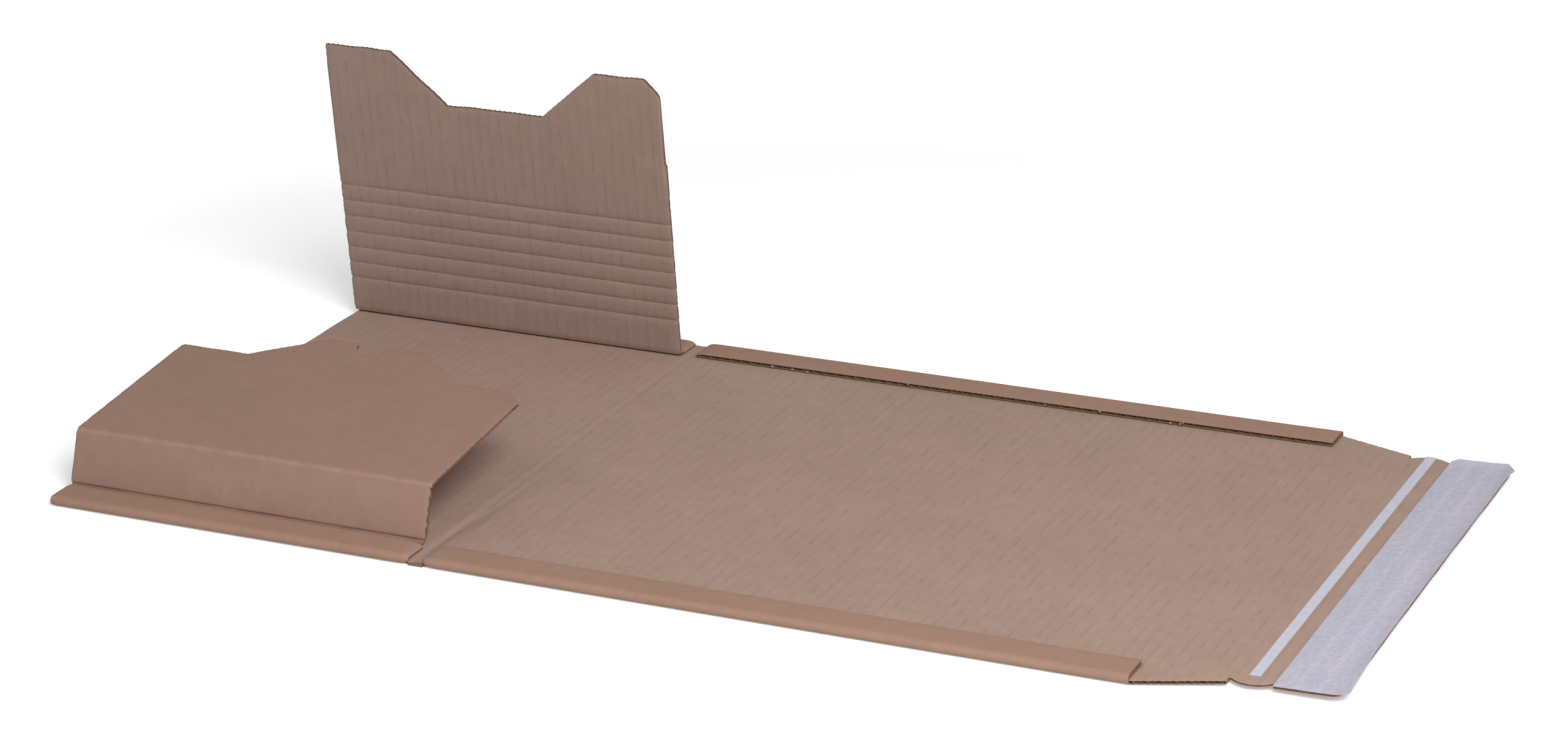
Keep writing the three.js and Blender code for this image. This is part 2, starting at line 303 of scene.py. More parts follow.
def board(name, path, across, first, last, open_first, open_last, materials, rows=(), relief=None,
          dent=None, edges=(None, None)):
    """A piece of corrugated board: a shell that is open at its cut ends, and the fluting seen in them.

    first and last give where the board starts and ends along the path at each column. rows are places that
    keep a row of points. relief lowers the inner face and dent the outer one. edges are the side outlines:
    a side that has one is cut, with a crushed edge, and one that has none meets other board."""
    if len(rows):
        rows = np.array(sorted(rows))
        steps = max(2, int((last.max() - rows[-1]) / ROW_STEP))
        share = np.linspace(0, 1, steps + 1)[1:-1]
        fixed = np.tile(rows, (len(across), 1))
        rest = rows[-1] + (last[:, None] - rows[-1]) * share
        lines = np.hstack([first[:, None], fixed, rest, last[:, None]])
    else:
        count = int((last - first).max() / FLAT_ROW_STEP)
        middle = first[:, None] + 7 + (last - first - 14)[:, None] * np.linspace(0, 1, count)
        lines = np.hstack([first[:, None] + EDGE_ROWS, middle, last[:, None] - EDGE_ROWS[::-1]])
    count = lines.shape[1]
    u = across[:, None] + 0 * lines
    inner_w = PLY - washboard(u, 1)
    if relief is not None:
        inner_w = inner_w - relief(u, lines)
    outer_w = washboard(u, -1) * 0.5
    if dent is not None:
        outer_w = outer_w + dent(u, lines)
    sides = list(zip(edges, (across[0], across[-1]), (across - across[0], across[-1] - across)))
    for outline, _, distance in sides:
        if outline:
            crushed = np.exp(-distance[:, None] / SIDE_CRUSH_REACH)
            inner_w = inner_w - SIDE_CRUSH * crushed
            outer_w = outer_w + END_CRUSH * crushed
    for is_open, gap in ((open_last, last[:, None] - lines), (open_first, lines - first[:, None])):
        if is_open:
            crushed = np.exp(-gap / END_CRUSH_REACH)
            inner_w = inner_w - END_CRUSH * crushed
            outer_w = outer_w + END_CRUSH * crushed
    ring_v, ring_w, kinds, slots = [lines], [inner_w], [0] * (count - 1), []
    for is_open, sign, edge, end in ((open_last, -1, last, -1), (open_first, 1, first, 0)):
        if is_open:
            low, high = outer_w[:, end] + FACE, inner_w[:, end] - FACE
            steps = [(0, high), (SLOT_DEPTH, high), (SLOT_DEPTH, low), (0, low)]
            if sign > 0:
                steps = steps[::-1]
            ring_v.append(np.stack([edge + sign * depth for depth, _ in steps], 1))
            ring_w.append(np.stack([w for _, w in steps], 1))
            kinds += [1] * (len(steps) + 1)
            slots.append(medium(name + "_flutes", path, across, edge, low, high, sign, materials))
        else:
            kinds += [1]
        if sign < 0:
            ring_v.append(lines[:, ::-1])
            ring_w.append(outer_w[:, ::-1])
            kinds += [0] * (count - 1)
    ring_v, ring_w = np.hstack(ring_v), np.hstack(ring_w)
    ring_u = np.repeat(across[:, None], ring_v.shape[1], 1)
    for outline, end, distance in sides:
        if outline:
            share = np.clip(1 - distance / SIDE_SHIFT_REACH, 0, 1)[:, None]
            ring_u = ring_u + (outline(ring_v) - end) * share
    return [ring_mesh(name, path, ring_u, ring_v, ring_w, kinds, materials)] + slots


def medium(name, path, across, edge, low, high, sign, materials):
    """The wavy middle sheet, seen in a cut end. It runs back into the board's open slot."""
    fine = np.arange(across[0] + 1.5, across[-1] - 1.5, FLUTE_PITCH / 14)
    tips = [np.interp(fine + d, across, edge) for d in (-0.4, 0.4)]
    tip = np.minimum(*tips) if sign < 0 else np.maximum(*tips)
    low, high = np.interp(fine, across, low), np.interp(fine, across, high)
    swing = (high - low - MEDIUM) / 2 * 1.02
    centre = (low + high) / 2 + swing * np.cos(math.tau * fine / FLUTE_PITCH)
    ragged = 0.25 + 0.2 * wave_noise(fine, 0 * fine, 0.9, 5)
    near, far = tip + sign * ragged, tip + sign * SLOT_DEPTH
    ring_v = np.stack([near, far, far, near], 1)
    half = MEDIUM / 2
    ring_w = np.stack([centre + half, centre + half, centre - half, centre - half], 1)
    ring_u = np.repeat(fine[:, None], 4, 1)
    return ring_mesh(name, path, ring_u, ring_v, ring_w, [1, 1, 1, 1], materials)


# Materials
class Tree:
    """Short ways to add nodes to a material or the world."""

    def __init__(self, owner):
        owner.use_nodes = True
        self.nodes = owner.node_tree.nodes
        self.links = owner.node_tree.links

    def add(self, kind, **values):
        made = self.nodes.new(kind)
        for key, value in values.items():
            setattr(made, key, value)
        return made

    def put(self, socket, value):
        """A number or a colour is set on the socket, and another socket is linked to it."""
        if isinstance(value, (int, float)):
            socket.default_value = value
        elif isinstance(value, (list, tuple)):
            socket.default_value = (*value, 1)
        else:
            self.links.new(value, socket)

    def math(self, operation, *values, clamp=False):
        made = self.add("ShaderNodeMath", operation=operation, use_clamp=clamp)
        for socket, value in zip(made.inputs, values):
            self.put(socket, value)
        return made.outputs[0]

    def mix(self, blend_type, factor, first, second):
        made = self.add("ShaderNodeMix", data_type="RGBA", blend_type=blend_type)
        for name, value in (("Factor", factor), ("A", first), ("B", second)):
            self.put(made.inputs[name], value)
        return made.outputs["Result"]

    def camera_rays(self):
        """1 for what the camera sees, and 0 for light that falls on the object."""
        return self.add("ShaderNodeLightPath").outputs["Is Camera Ray"]


class Finish(Tree):
    """A material laid out on the sheet: across the flutes, along the sheet and through its thickness."""

    def __init__(self, name, roughness, specular=0.5):
        self.material = bpy.data.materials.new(name)
        super().__init__(self.material)
        self.shader = self.nodes["Principled BSDF"]
        self.shader.inputs["Roughness"].default_value = roughness
        self.shader.inputs["Specular IOR Level"].default_value = specular
        self.sheet = self.add("ShaderNodeAttribute", attribute_name="sheet").outputs["Vector"]

    def coordinates(self):
        split = self.add("ShaderNodeSeparateXYZ")
        self.links.new(self.sheet, split.inputs[0])
        return split.outputs

    def noise(self, stretch, scale, detail=3.0, roughness=0.55):
        """Noise on the sheet, in millimetres, stretched along or across the flutes."""
        mapping = self.add("ShaderNodeMapping")
        mapping.inputs["Scale"].default_value = stretch
        self.links.new(self.sheet, mapping.inputs["Vector"])
        made = self.add("ShaderNodeTexNoise")
        for name, value in (("Scale", scale), ("Detail", detail), ("Roughness", roughness)):
            made.inputs[name].default_value = value
        self.links.new(mapping.outputs["Vector"], made.inputs["Vector"])
        return made.outputs["Fac"]

    def vary(self, tone, noise, strength):
        """The tone made lighter and darker by up to half the strength, as the noise says."""
        step = self.math("MULTIPLY_ADD", noise, strength, 1 - strength / 2)
        return self.math("MULTIPLY", tone, step)

    def nearness(self, coordinate, centre, width):
        """1 on a line of the sheet, falling to 0 at the given width from it."""
        away = self.math("ABSOLUTE", self.math("SUBTRACT", coordinate, centre))
        return self.math("MULTIPLY_ADD", away, -1 / width, 1.0, clamp=True)

    def paint(self, colour, tone):
        """The colour times the tone becomes the base colour."""
        combine = self.add("ShaderNodeCombineXYZ")
        for socket in combine.inputs:
            self.links.new(tone, socket)
        painted = self.mix("MULTIPLY", 1.0, colour, combine.outputs[0])
        self.links.new(painted, self.shader.inputs["Base Color"])

    def bump(self, height, strength, distance):
        made = self.add("ShaderNodeBump")
        made.inputs["Strength"].default_value = strength
        made.inputs["Distance"].default_value = distance
        self.links.new(height, made.inputs["Height"])
        self.links.new(made.outputs["Normal"], self.shader.inputs["Normal"])


def kraft(name, outer, inner, lines=()):
    """Brown kraft face: mottled pulp, short fibres, and broken dark lines where the fluting is glued, with
    painted shade of the washboard ripple.

    lines give the painted lines on the outer face, painted shade in creases and painted highlight, with
    rubbed fibres, on folds: where along the sheet, how wide, and how much lighter or darker."""
    finish = Finish(name, 0.88, 0.25)
    across, along, through = finish.coordinates()
    is_inner = finish.math("GREATER_THAN", through, PLY / 2)
    colour = finish.mix("MIX", is_inner, linear(*outer), linear(*inner))
    blotches = finish.noise((1, 1, 4), 0.018, 2.0)
    clouds = finish.noise((1, 0.8, 4), 0.11)
    streaks = finish.noise((0.22, 1.5, 4), 0.9, 4.0, 0.65)
    specks = finish.noise((0.8, 1.4, 4), 3.2, 3.0, 0.7)
    # Broken dark lines at the flute tips: the glue lines, and painted shade of the washboard ripple there;
    # a quarter as strong on the outer face.
    broken = finish.noise((1, 0.5, 4), 0.22, 3.0, 0.65)
    broken = finish.math("MULTIPLY_ADD", broken, 4.0, -1.6, clamp=True)
    ridge = finish.math("COSINE", finish.math("MULTIPLY", across, math.tau / FLUTE_PITCH))
    ridge = finish.math("POWER", finish.math("MULTIPLY_ADD", ridge, 0.5, 0.5), 8.0)
    shown = finish.math("MULTIPLY_ADD", is_inner, 0.75, 0.25)
    glue_line_and_shade = finish.math("MULTIPLY", finish.math("MULTIPLY", ridge, broken), shown)
    tone = finish.math("MULTIPLY_ADD", blotches, 0.14, 0.93)
    for noise, strength in ((clouds, 0.17), (streaks, 0.2), (specks, 0.24)):
        tone = finish.vary(tone, noise, strength)
    tone = finish.math("MULTIPLY", tone, finish.math("MULTIPLY_ADD", glue_line_and_shade, -0.15, 1.0))
    on_outer = finish.math("SUBTRACT", 1.0, is_inner)
    # Painted lines on the outer face: painted shade in a crease and painted highlight on a fold, broken
    # into patches.
    for centre, width, change in lines:
        near = finish.math("POWER", finish.nearness(along, centre, width), 1.5)
        patchiness = finish.math("MULTIPLY_ADD", clouds, 1.6, -0.3, clamp=True)
        near = finish.math("MULTIPLY", finish.math("MULTIPLY", near, patchiness), on_outer)
        tone = finish.math("MULTIPLY", tone, finish.math("MULTIPLY_ADD", near, change, 1.0))
    finish.paint(colour, tone)
    finish.bump(finish.math("MULTIPLY_ADD", streaks, 0.6, specks), 0.35, 0.00012)
    return finish.material


def cut_edge(name, colour):
    """Raw die-cut board edge: fibrous, uneven, a little darker than the faces."""
    finish = Finish(name, 0.95, 0.15)
    fluff = finish.noise((1, 1, 3), 1.6, 4.0, 0.7)
    finish.paint(linear(*colour), finish.math("MULTIPLY_ADD", fluff, 0.9, 0.55))
    finish.bump(fluff, 0.6, 0.0002)
    return finish.material


def coated_paper(name, colour, roughness, wrinkle, tint=None, stripes=()):
    """Smooth white paper or film with long soft waves, small cockles and faint stripes along its length."""
    finish = Finish(name, roughness)
    across = finish.coordinates()[0]
    soft = finish.noise((0.35, 0.05, 1), 0.9, 2.0)
    fine = finish.noise((1, 1, 1), 1.8)
    cockle = finish.noise((1, 0.55, 1), 0.42, 3.0, 0.6)
    tone = finish.math("MULTIPLY_ADD", soft, 0.08, 0.96)
    tone = finish.vary(finish.vary(tone, fine, 0.1), cockle, 0.34)
    # Stripes along the length, lighter or darker as given; on the liner the lighter ones are painted
    # highlight on folds that the sheet's shape lacks.
    for centre, width, change in stripes:
        near = finish.nearness(across, centre, width)
        tone = finish.math("MULTIPLY", tone, finish.math("MULTIPLY_ADD", near, change, 1.0))
    patches = finish.noise((1, 0.4, 1), 0.09, 2.0)
    patches = finish.math("MULTIPLY_ADD", patches, 3.0, -1.0, clamp=True)
    finish.paint(finish.mix("MIX", patches, linear(*colour), linear(*(tint or colour))), tone)
    finish.bump(finish.math("MULTIPLY_ADD", cockle, 3.0, fine), wrinkle, 0.0003)
    return finish.material


# Paths of the folded sheet
LEFT, RIGHT = 1, -1
FLAT = Path((0, 0), 0.0, LEFT).straight(TRAY_DEPTH)
VALLEY_TURN_FRONT = math.pi / 2 - FRONT_LEAN
VALLEY_TURN_REAR = math.pi / 2 - REAR_LEAN
FRONT_FOLD = math.pi / 2 - FRONT_LEAN - FRONT_RISE
FRONT_VALLEY = VALLEY_RADIUS * math.tan(VALLEY_TURN_FRONT / 2)
REAR_VALLEY = VALLEY_RADIUS * math.tan(VALLEY_TURN_REAR / 2)
FRONT_FOLD_TANGENT = FRONT_FOLD_RADIUS * math.tan(FRONT_FOLD / 2)
FRONT_BEND_END = FOOT + VALLEY_RADIUS * VALLEY_TURN_FRONT
REAR_BEND_END = FOOT + VALLEY_RADIUS * VALLEY_TURN_REAR
FRONT_VALLEY_MIDDLE = FOOT + VALLEY_RADIUS * VALLEY_TURN_FRONT / 2
REAR_VALLEY_MIDDLE = FOOT + VALLEY_RADIUS * VALLEY_TURN_REAR / 2
STRIP_BEND = math.pi * BOARD


def strip_path(is_front):
    """The turned-over edge: from the underside round the fold and onto the panel."""
    if is_front:
        path = Path((BOARD, 0), math.pi, RIGHT).bend(BOARD, -math.pi)
    else:
        path = Path((TRAY_DEPTH - BOARD, 0), 0.0, LEFT).bend(BOARD, math.pi)
    return path.straight(STRIP_WIDTH)


def front_path():
    start = (STRIP_WIDTH - FRONT_VALLEY - FOOT, STRIP_TOP)
    path = Path(start, 0.0, RIGHT).straight(FOOT).bend(VALLEY_RADIUS, VALLEY_TURN_FRONT)
    path.straight(FRONT_WALL - FRONT_VALLEY - FRONT_FOLD_TANGENT)
    path.wall_end = path.length
    path.bend(FRONT_FOLD_RADIUS, -FRONT_FOLD)
    path.fold_end = path.length
    return path.straight(FRONT_TOP + TAB_DEPTH)


def rear_path():
    start = (TRAY_DEPTH - STRIP_WIDTH + REAR_VALLEY + FOOT, STRIP_TOP)
    path = Path(start, math.pi, LEFT).straight(FOOT).bend(VALLEY_RADIUS, -VALLEY_TURN_REAR)
    path.base = path.length - REAR_VALLEY
    return path.straight(REAR_EAR)


def tab_line(across, ear, depth):
    """The zigzag edge: ears at both sides and a tab in the middle, depth further out (or in)."""
    away = np.abs(across - MIDDLE)
    rise = np.clip((TAB_ROOT_WIDTH / 2 - away) / ((TAB_ROOT_WIDTH - TAB_END_WIDTH) / 2), 0, 1)
    chamfer = np.clip(across - (TRAY_LENGTH - EAR_CHAMFER), 0, None)
    return ear + depth * rise - chamfer


def zigzag_marks():
    marks = [MIDDLE + side * width / 2 for side in (-1, 1) for width in (TAB_END_WIDTH, TAB_ROOT_WIDTH)]
    return marks + [TRAY_LENGTH - EAR_CHAMFER]


def serrated(line, across, seed):
    """A zigzag outline as the knife leaves it: slightly wavy, with teeth."""
    return line - TOOTH_DEPTH * teeth(across, seed) + 0.35 * wave_noise(across, 0 * across, 3.5, seed + 1)


def row_places(start, end, step=ROW_STEP):
    return list(np.arange(start + step, end, step))


def bend_rows(end, count):
    """Rows round the bend that starts a path, apart from its first row."""
    return list(np.linspace(0, end, count)[1:])


# Finishes
OUTER_KRAFT, INNER_KRAFT = (156, 124, 107), (163, 137, 124)
# The flaps get darker copies of the kraft colours: painted shade, for light that falls off towards them.
FRONT_KRAFT_SHADED, REAR_KRAFT_SHADED = (151, 121, 107), (150, 127, 116)
FACES = kraft("kraft_faces", OUTER_KRAFT, INNER_KRAFT)
# Its lines: painted shade darkening the valley crease at the wall's foot, and a paler line on the top fold
# that is painted highlight and rubbed fibres.
FRONT_FACES = kraft("kraft_faces_front_flap_shaded", FRONT_KRAFT_SHADED, INNER_KRAFT, lines=[
    (FRONT_VALLEY_MIDDLE, 1.6, -0.4), (FOOT + FRONT_WALL - 0.6, 2.2, 0.16)])
REAR_FACES = kraft("kraft_faces_rear_flap_shaded", OUTER_KRAFT, REAR_KRAFT_SHADED)
EDGE = cut_edge("kraft_cut_edge", (128, 102, 84))
BOARD_MATERIALS = [FACES, EDGE]
FRONT_MATERIALS = [FRONT_FACES, EDGE]
REAR_MATERIALS = [REAR_FACES, EDGE]
# Two lighter stripes of painted highlight on folds, and a darker band at the liner's end.
LINER = coated_paper("release_liner_paper", (180, 179, 195), 0.45, 0.6, tint=(187, 182, 194), stripes=[
    (FLAP_START + 11, 2.6, 0.08), (FLAP_START + 22, 3.0, 0.09), (SHEET_END, 6.0, -0.1)])
TAPE = coated_paper("tear_tape_film", (196, 194, 208), 0.38, 0.1)
GLUE = coated_paper("glue_film", (196, 188, 176), 0.3, 0.2)


# Panels
def make_tray():
    across = columns_between(0, CREASE_X - CREASE_SETBACK / 2, [TRAY_LENGTH - STEP, TRAY_LENGTH + STEP])
    inset = np.where(across < TRAY_LENGTH, BOARD, GAP_INSET)
    meshes = board("tray_ply", FLAT, across, inset, TRAY_DEPTH - inset, False, False, BOARD_MATERIALS,
                   relief=ply_wrinkle, edges=(side_edge(0, 15, -1), None))
    across = columns_between(0, TRAY_LENGTH)
    none = 0 * across
    for is_front, valley in ((True, FRONT_VALLEY), (False, REAR_VALLEY)):
        path = strip_path(is_front)
        end = STRIP_BEND + STRIP_WIDTH - BOARD - valley - FOOT
        rows = bend_rows(STRIP_BEND, 11) + row_places(STRIP_BEND, end - 2, 4)
        meshes += board("tray_strip", path, across, none, none + end, False, False, BOARD_MATERIALS,
                        rows=rows, dent=crushed_end(TRAY_LENGTH, -1), edges=(side_edge(0, 18, -1), None))
    tray = join("tray_panel", meshes)
    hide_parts("base_panel")
    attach(tray, "base")


def side_edge(at, seed, outward):
    """A serrated side outline: teeth point inwards from the true edge."""
    return lambda along: at - outward * TOOTH_DEPTH * teeth(along, seed)


def scalloped_edge(at, pitch):
    """A side outline that was crushed into small waves by the knife."""
    def outline(along):
        waves = np.abs(np.sin(math.pi * along / pitch))
        return at - SCALLOP_DEPTH * waves - 0.2 * teeth(along, 16)
    return outline


def groove(along, centre):
    """The line pressed into the board at a crease, seen on the outer face."""
    return GROOVE_DEPTH * np.exp(-((along - centre) / GROOVE_WIDTH) ** 2)


def ply_wrinkle(across, along):
    """A soft crease that starts in the gap between the front strips and fades out along the panel."""
    line = WRINKLE_START + (along - WRINKLE_FROM) * WRINKLE_SLOPE
    fade = np.clip((WRINKLE_END - along) / WRINKLE_FADE, 0, 1) ** 1.5
    score = SCORE_DEPTH * np.exp(-((across - CREASE_X) / SCORE_WIDTH) ** 2)
    return score + WRINKLE_DEPTH * fade * np.exp(-((across - line) / WRINKLE_WIDTH) ** 2)


def crushed_end(at, side):
    """The end of a folded strip beside the crease, pressed down by the creasing rule."""
    return lambda across, along: STRIP_END_PRESS * np.exp(-side * (across - at) / STRIP_END_REACH)


def make_front_flap():
    path = front_path()
    across = columns_between(0, TRAY_LENGTH)
    none = 0 * across
    sides = (side_edge(0, 11, -1), side_edge(TRAY_LENGTH, 12, 1))
    rows = bend_rows(FRONT_BEND_END + 2, 16) + row_places(FRONT_BEND_END + 2, path.wall_end - 3)
    wall = join("front_wall_board", board(
        "front_wall_board", path, across, none, none + path.wall_end, False, False, FRONT_MATERIALS,
        rows=rows, dent=lambda u, v: groove(v, FRONT_VALLEY_MIDDLE) * (1 + 0.2 * wave_noise(u, v, 7.0, 61)),
        edges=(sides[0], scalloped_edge(TRAY_LENGTH, SCALLOP_PITCH))))
    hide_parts("front_wall")

    across = columns_between(0, TRAY_LENGTH, zigzag_marks() + thumb_marks())
    shift = path.fold_end - FRONT_FOLD_TANGENT
    end = tab_line(across, FRONT_TOP, TAB_DEPTH)
    inside = np.clip(THUMB_RADIUS ** 2 - (across - MIDDLE) ** 2, 0, None)
    end = serrated(end - np.sqrt(inside), across, 21) + shift
    start = 0 * across + path.wall_end
    fold_rows = list(np.linspace(path.wall_end, path.fold_end, 9)[1:])
    rows = fold_rows + row_places(path.fold_end, shift + FRONT_TOP - EAR_CHAMFER - 4)
    middle = (path.wall_end + path.fold_end) / 2
    top = join("front_top_board", board(
        "front_top_board", path, across, start, end, False, True, FRONT_MATERIALS, rows=rows,
        dent=lambda u, v: 0.16 * wave_noise(u, 0 * v, 6.0, 62) * np.clip(1 - np.abs(v - middle) / 2, 0, 1),
        edges=sides))
    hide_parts("front_top")
    return path, wall, top


def thumb_marks():
    turns = np.linspace(0, math.pi, 25)
    return [MIDDLE + THUMB_RADIUS * math.cos(t) for t in turns]


def crease_relief(path, heights):
    """The relief of the height creases: a sharp line each, in a soft hollow."""
    def relief(across, along):
        height = along - path.base
        depth = 0 * height
        for crease in heights:
            away = np.abs(height - crease - 0.15 * wave_noise(across, 0 * across, 9.0, int(crease)))
            crush = CREASE_PRESS + 0.1 * np.cos(math.tau * across / FLUTE_PITCH)
            depth = depth + crush * np.exp(-away / CREASE_REACH)
            depth = depth + CREASE_SOFT_PRESS * np.clip(1 - away / CREASE_SOFT_REACH, 0, 1) ** 2
        return depth
    return relief


def make_rear_flap():
    path = rear_path()
    across = columns_between(0, TRAY_LENGTH)
    none = 0 * across
    heights = [REAR_WALL + (k - 1) * HEIGHT_CREASE_PITCH for k in range(HEIGHT_CREASES)]
    relief = crease_relief(path, heights)
    seam = path.base + REAR_WALL - 1.0
    sides = (side_edge(0, 13, -1), side_edge(TRAY_LENGTH, 14, 1))
    offsets = (-3, -2.2, -1.4, -0.75, -0.35, 0, 0.35, 0.75, 1.4, 2.2, 3)
    near = [path.base + h + d for h in heights for d in offsets]
    coarse = row_places(REAR_BEND_END, path.base + 100)
    open_rows = [r for r in coarse if all(abs(r - path.base - h) > 3.4 for h in heights)]
    rows = sorted(open_rows + near)
    low_rows = bend_rows(REAR_BEND_END, 12) + [r for r in rows if REAR_BEND_END < r < seam - 0.1]
    wall = join("rear_wall_board", board(
        "rear_wall_board", path, across, none, none + seam, False, False, REAR_MATERIALS,
        rows=low_rows, relief=relief, dent=lambda u, v: groove(v, REAR_VALLEY_MIDDLE), edges=sides))
    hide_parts("rear_wall")

    across = columns_between(0, TRAY_LENGTH, zigzag_marks())
    end = serrated(tab_line(across, REAR_EAR, -TAB_DEPTH), across, 22) + path.base

    def right_side(along):
        step = np.where(along - path.base > EDGE_STEP_HEIGHT, EDGE_STEP, 0)
        return sides[1](along) - step

    high_rows = [r for r in rows if r > seam + 0.1]
    high_rows += [path.base + EDGE_STEP_HEIGHT + d for d in (-0.1, 0.1)]
    top = join("rear_top_board", board(
        "rear_top_board", path, across, 0 * across + seam, end, False, True, REAR_MATERIALS,
        rows=high_rows, relief=relief, edges=(sides[0], right_side)))
    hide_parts("rear_top")
    return path, wall, top


def wrap_inset(across):
    """How far the wrap panel's single layer is set in from the front and rear lines, at each column."""
    inset = np.where(across < WRAP_START, GAP_INSET, BOARD)
    taper = TAPER_START_INSET + (TAPER_END_INSET - TAPER_START_INSET) * (across - WRAP_END) / TAPER
    inset = np.where(across > WRAP_END, taper, inset)
    half = TEAR_BAND / 2 - NOTCH_LENGTH
    radius = (half ** 2 + NOTCH_DEPTH ** 2) / (2 * NOTCH_DEPTH)
    away = np.clip(np.abs(across - (TAPER_END + TEAR_BAND / 2)), 0, half)
    bulge = TAPER_END_INSET + radius - np.sqrt(radius ** 2 - away ** 2)
    inset = np.where(across > TAPER_END, bulge, inset)
    corner = np.clip(across - (SHEET_END - END_CORNER), 0, END_CORNER)
    end = END_FLAP_INSET + END_CORNER - np.sqrt(np.clip(END_CORNER ** 2 - corner ** 2, 0, None))
    return np.where(across > FLAP_START, end, inset)


def make_wrap():
    start = CREASE_X - CREASE_SETBACK / 2
    corner = [SHEET_END - END_CORNER * (1 - math.sin(t)) for t in np.linspace(0, math.pi / 2, 9)]
    steps = [WRAP_START, WRAP_END, TAPER_END, FLAP_START]
    marks = [s + d for s in steps for d in (-STEP, STEP)] + corner + [TAPER_END, FLAP_START]
    across = columns_between(start, SHEET_END, marks)
    in_taper = (across > WRAP_END) & (across < TAPER_END)
    meshes = wrap_ply(across, wrap_inset(across) + np.where(in_taper, TOOTH_DEPTH * teeth(across, 31), 0))
    across = columns_between(WRAP_START, WRAP_END)
    none = 0 * across
    for is_front, seed in ((True, 41), (False, 42)):
        path = strip_path(is_front)
        edge = STRIP_BEND + STRIP_WIDTH - BOARD
        rows = bend_rows(STRIP_BEND, 11) + row_places(STRIP_BEND, edge - 3)
        meshes += board("wrap_strip", path, across, none, edge - 0.25 * teeth(across, seed), False, True,
                        BOARD_MATERIALS, rows=rows, dent=crushed_end(WRAP_START, 1))
        meshes += torn_bits(path, edge, seed)
    wrap = join("wrap_board", meshes)
    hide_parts("wrap_panel")
    return wrap


def tear_slit(across, along):
    """The short cuts that run in from the notches beside the tear band."""
    from_edge = np.minimum(along, TRAY_DEPTH - along) - TAPER_END_INSET - NOTCH_DEPTH
    at_cut = np.minimum(np.abs(across - TAPER_END), np.abs(across - FLAP_START)) < STEP / 2
    return np.where(at_cut & (from_edge < SLIT_LENGTH), SLIT_DEPTH, 0)


def torn_bits(path, edge, seed):
    """Small flakes of paper that the knife tore loose along the cut edge of a strip."""
    rng = np.random.default_rng(seed)
    bits = []
    for _ in range(9):
        middle, half = rng.uniform(WRAP_START + 15, WRAP_END - 5), rng.uniform(0.5, 1.3)
        reach, height = rng.uniform(0.7, 1.7), rng.uniform(0.3, 1.6)
        across = middle + half * np.array([-1, 0.1, 1])[:, None] * np.ones(4)
        size = np.array([0.2, 1, 0.3])[:, None]
        along = edge + reach * size * np.array([-0.4, 1, 0.9, -0.4])
        through = height + size * np.array([0.14, 0.5, 0.36, 0])
        bits.append(ring_mesh("torn_bit", path, across, along, through, [0, 0, 0, 0], BOARD_MATERIALS))
    return bits


def closure_edge(across, along):
    """The cut edges of the closure end, pressed thinner from below."""
    inset = wrap_inset(across)
    depth = np.where(across > TAPER_END, CLOSURE_PRESS, TAPER_PRESS)
    from_edge = np.clip(np.minimum(along - inset, TRAY_DEPTH - inset - along), 0, None)
    return depth * np.exp(-from_edge / PRESS_REACH)


def wrap_ply(across, inset):
    """The single layer in two lengths: closed under the strips, open-ended beyond them."""
    closed = across < WRAP_END + STEP / 2
    open_part = across > WRAP_END - STEP / 2
    meshes = board("wrap_ply", FLAT, across[closed], inset[closed], TRAY_DEPTH - inset[closed],
                   False, False, BOARD_MATERIALS, relief=ply_wrinkle)
    meshes += board("wrap_end", FLAT, across[open_part], inset[open_part], TRAY_DEPTH - inset[open_part],
                    True, True, BOARD_MATERIALS, relief=tear_slit, dent=closure_edge,
                    edges=(None, side_edge(SHEET_END, 17, 1)))
    return meshes


def flat_sheet(name, across, front, rear, bottom, thickness, material, lift=None, shift=None):
    """A thin sheet on the wrap panel. front and rear give its ends at each column."""
    share = np.linspace(0, 1, SHEET_ROWS)
    lines = front[:, None] + (rear - front)[:, None] * share
    u = np.repeat(across[:, None], lines.shape[1], 1)
    rise = lift(u, lines) if lift else 0 * u
    if shift:
        u = u + shift(u, lines)
    ring_v = np.hstack([lines, lines[:, ::-1]])
    ring_w = np.hstack([bottom + thickness + rise, (bottom + rise)[:, ::-1]])
    ring_u = np.hstack([u, u[:, ::-1]])
    kinds = [0] * ring_v.shape[1]
    return join(name, [ring_mesh(name, FLAT, ring_u, ring_v, ring_w, kinds, [material, material])])


